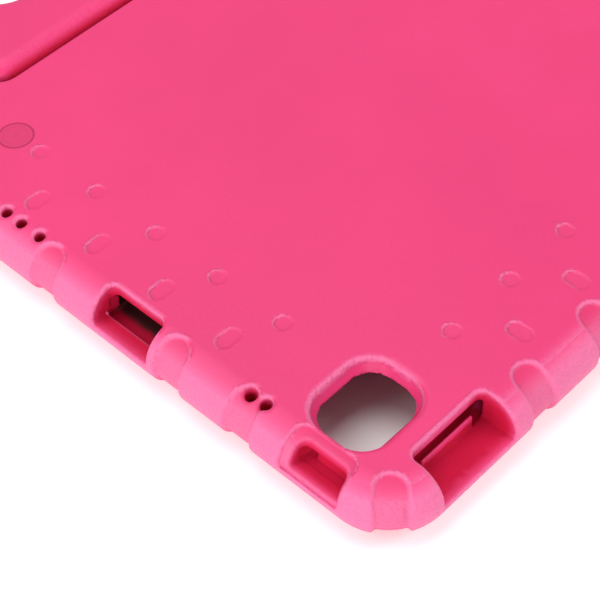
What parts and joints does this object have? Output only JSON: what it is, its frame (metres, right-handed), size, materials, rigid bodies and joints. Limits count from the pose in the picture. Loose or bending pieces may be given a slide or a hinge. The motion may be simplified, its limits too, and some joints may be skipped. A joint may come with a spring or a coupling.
{
  "type": "tablet case",
  "caption": "Soft foam tablet case with rounded bumper edges, button and port pockets, a camera window and a swinging carry handle.",
  "frame": {"origin": "middle of the overall footprint, handle raised, on the plane of the front lip that faces the table", "axes": "+X along the long side away from the camera window, +Y across the case towards the handle, +Z from the screen side to the moulded back"},
  "size_m": [0.2708, 0.2914, 0.0225],
  "materials": {
    "foam": "matte",
    "handle_foam": "matte",
    "core_plastic": "matte",
    "pin_steel": "satin",
    "bush_plastic": "satin",
    "plug_foam": "matte"
  },
  "bodies": {
    "case": {"shell": "foam", "ear_bush_left": "bush_plastic", "ear_bush_right": "bush_plastic", "hinge_pin_left": "pin_steel", "hinge_pin_right": "pin_steel", "pin_plug_left": "plug_foam", "pin_plug_right": "plug_foam"},
    "handle": {"handle": "handle_foam", "handle_core": "core_plastic"}
  },
  "joints": [
    {"name": "handle_hinge", "type": "hinge", "parent": "case", "child": "handle", "pos_m": [0, 0.0607, 0.0155], "axis": [1, 0, 0], "range_deg": [0, 92]}
  ]
}
